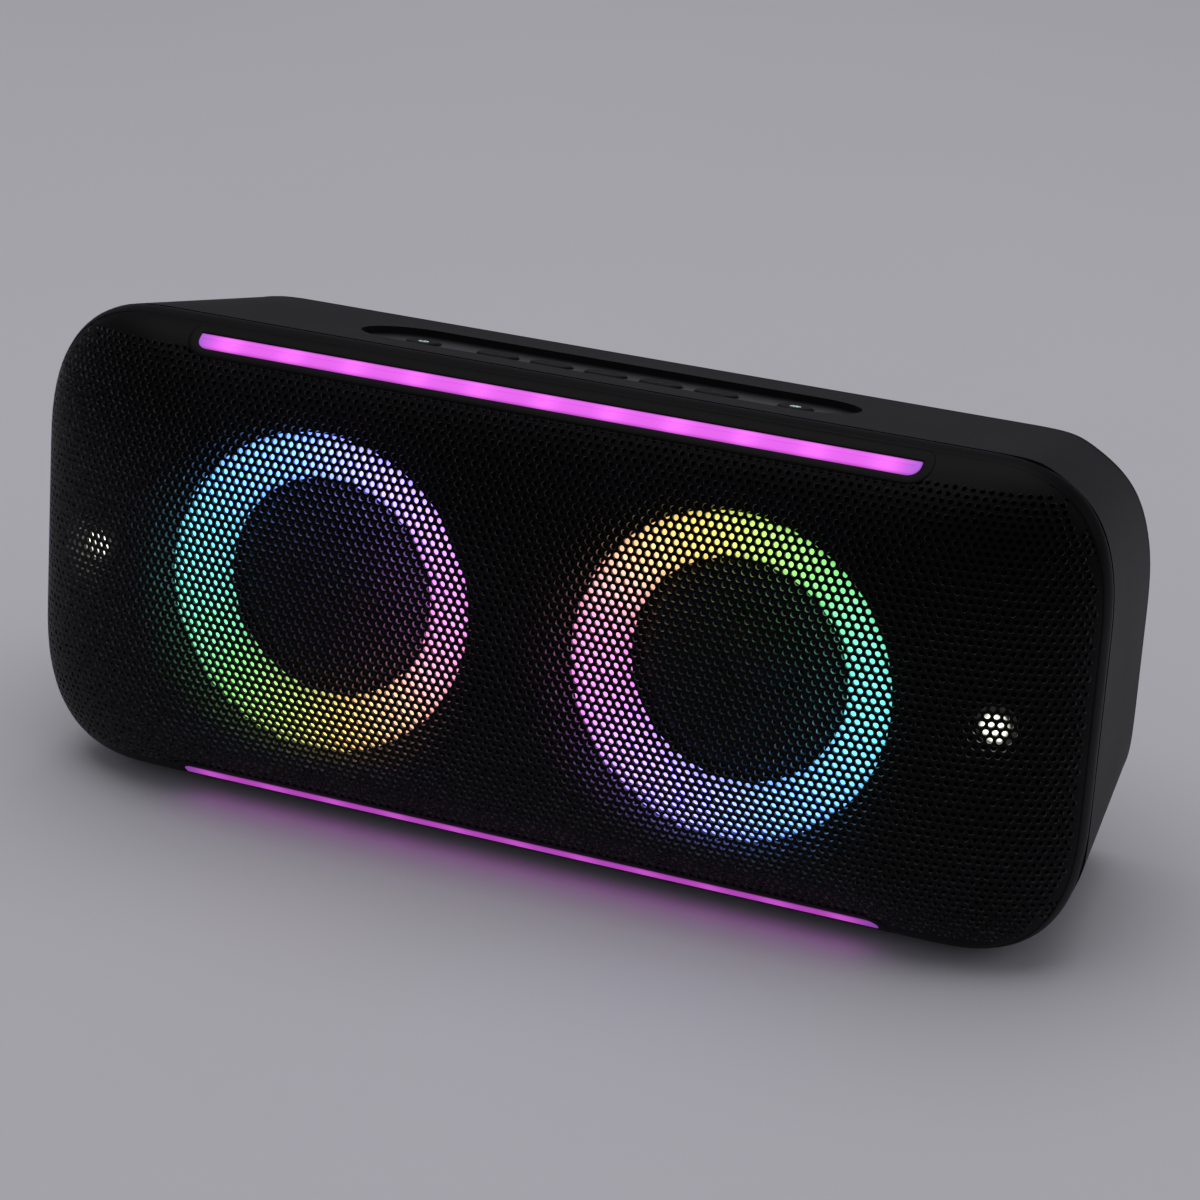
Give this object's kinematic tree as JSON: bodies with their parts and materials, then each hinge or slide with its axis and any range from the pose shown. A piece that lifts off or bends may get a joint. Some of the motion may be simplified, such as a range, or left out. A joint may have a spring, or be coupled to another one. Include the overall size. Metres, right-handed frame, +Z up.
{
  "type": "party speaker",
  "caption": "Portable party speaker with a bowed perforated front, lit woofer rings, light bars, strobe lamps and a key deck on top.",
  "frame": {"origin": "centre of the bounding box at the floor, under the middle of the cabinet", "axes": "+X along the width, to the right as seen from the front, -Y out of the front, +Z up"},
  "size_m": [0.382, 0.1282, 0.1656],
  "materials": {
    "grille": "satin black powder coat, perforated",
    "baffle": "matte black moulded plastic",
    "housing": "fine textured black moulded plastic",
    "light_bar": "lit milky lens, magenta",
    "light_ring": "lit milky light guide, rainbow round the ring",
    "lamp_board": "circuit board with lamps",
    "strobe_lens": "clear lens, lit white",
    "reflector": "bright metallised plastic",
    "surround_rubber": "soft black rubber",
    "cone": "dark fibre cone",
    "coil_former": "former with copper winding",
    "spider_cloth": "resin-set woven cloth",
    "basket": "black coated pressed steel",
    "magnet": "ferrite with plated plates",
    "fastener": "black zinc plated",
    "port": "matte black moulded plastic",
    "deck": "dark satin plastic",
    "key": "dark silicone rubber",
    "lit_key": "translucent lit silicone",
    "circuit_board": "green circuit board",
    "socket_plastic": "black socket body",
    "socket_metal": "bright plated steel",
    "flap_rubber": "matte black rubber",
    "heatsink": "bare extruded aluminium",
    "battery": "blue shrink wrap",
    "strap": "black coated strap",
    "foot_rubber": "matte black rubber"
  },
  "bodies": {
    "cabinet": {"front_grille": "grille", "front_baffle": "baffle", "rear_housing": "housing", "rear_cover": "housing", "socket_tray": "housing", "housing_pillars": "baffle", "bar_led_strips": "lamp_board", "top_light_bar": "light_bar", "bottom_light_bar": "light_bar", "light_ring_left": "light_ring", "ring_led_board_left": "lamp_board", "woofer_surround_left": "surround_rubber", "woofer_spider_left": "spider_cloth", "woofer_basket_left": "basket", "woofer_magnet_left": "magnet", "strobe_lens_left": "strobe_lens", "strobe_reflector_left": "reflector", "strobe_board_left": "lamp_board", "light_ring_right": "light_ring", "ring_led_board_right": "lamp_board", "woofer_surround_right": "surround_rubber", "woofer_spider_right": "spider_cloth", "woofer_basket_right": "basket", "woofer_magnet_right": "magnet", "strobe_lens_right": "strobe_lens", "strobe_reflector_right": "reflector", "strobe_board_right": "lamp_board", "driver_screws": "fastener", "housing_screws": "fastener", "bass_port": "port", "control_deck": "deck", "deck_board": "circuit_board", "port_panel": "port", "mic_socket": "socket_plastic", "aux_socket": "socket_plastic", "usb_socket": "socket_metal", "dc_socket": "socket_plastic", "flap_hinge_pin": "fastener", "main_board": "circuit_board", "amp_heatsink": "heatsink", "battery_pack": "battery", "battery_strap": "strap", "foot_front_left": "foot_rubber", "foot_front_right": "foot_rubber", "foot_rear_left": "foot_rubber", "foot_rear_right": "foot_rubber"},
    "cone_left": {"woofer_cone_left": "cone", "woofer_dust_cap_left": "cone", "woofer_voice_coil_left": "coil_former"},
    "cone_right": {"woofer_cone_right": "cone", "woofer_dust_cap_right": "cone", "woofer_voice_coil_right": "coil_former"},
    "power_key_body": {"power_key": "lit_key"},
    "bluetooth_key_body": {"bluetooth_key": "key"},
    "volume_down_key_body": {"volume_down_key": "key"},
    "play_key_body": {"play_key": "key"},
    "volume_up_key_body": {"volume_up_key": "key"},
    "bass_key_body": {"bass_key": "key"},
    "light_key_body": {"light_key": "lit_key"},
    "flap": {"port_flap": "flap_rubber"}
  },
  "joints": [
    {"name": "cone_left_stroke", "type": "slide", "parent": "cabinet", "child": "cone_left", "axis": [0, -0.9906, 0.1369], "range_m": [-0.003, 0.003], "stiffness_N_per_m": 1500},
    {"name": "cone_right_stroke", "type": "slide", "parent": "cabinet", "child": "cone_right", "axis": [0, -0.9906, 0.1369], "range_m": [-0.003, 0.003], "stiffness_N_per_m": 1500},
    {"name": "power_press", "type": "slide", "parent": "cabinet", "child": "power_key_body", "axis": [0, -0.2711, -0.9625], "range_m": [0, 0.0008], "stiffness_N_per_m": 1800},
    {"name": "bluetooth_press", "type": "slide", "parent": "cabinet", "child": "bluetooth_key_body", "axis": [0, -0.2711, -0.9625], "range_m": [0, 0.0008], "stiffness_N_per_m": 1800},
    {"name": "volume_down_press", "type": "slide", "parent": "cabinet", "child": "volume_down_key_body", "axis": [0, -0.2711, -0.9625], "range_m": [0, 0.0008], "stiffness_N_per_m": 1800},
    {"name": "play_press", "type": "slide", "parent": "cabinet", "child": "play_key_body", "axis": [0, -0.2711, -0.9625], "range_m": [0, 0.0008], "stiffness_N_per_m": 1800},
    {"name": "volume_up_press", "type": "slide", "parent": "cabinet", "child": "volume_up_key_body", "axis": [0, -0.2711, -0.9625], "range_m": [0, 0.0008], "stiffness_N_per_m": 1800},
    {"name": "bass_press", "type": "slide", "parent": "cabinet", "child": "bass_key_body", "axis": [0, -0.2711, -0.9625], "range_m": [0, 0.0008], "stiffness_N_per_m": 1800},
    {"name": "light_press", "type": "slide", "parent": "cabinet", "child": "light_key_body", "axis": [0, -0.2711, -0.9625], "range_m": [0, 0.0008], "stiffness_N_per_m": 1800},
    {"name": "flap_hinge", "type": "hinge", "parent": "cabinet", "child": "flap", "pos_m": [0, 0.04452, 0.01221], "axis": [-1, 0, 0], "range_deg": [0, 90]}
  ]
}
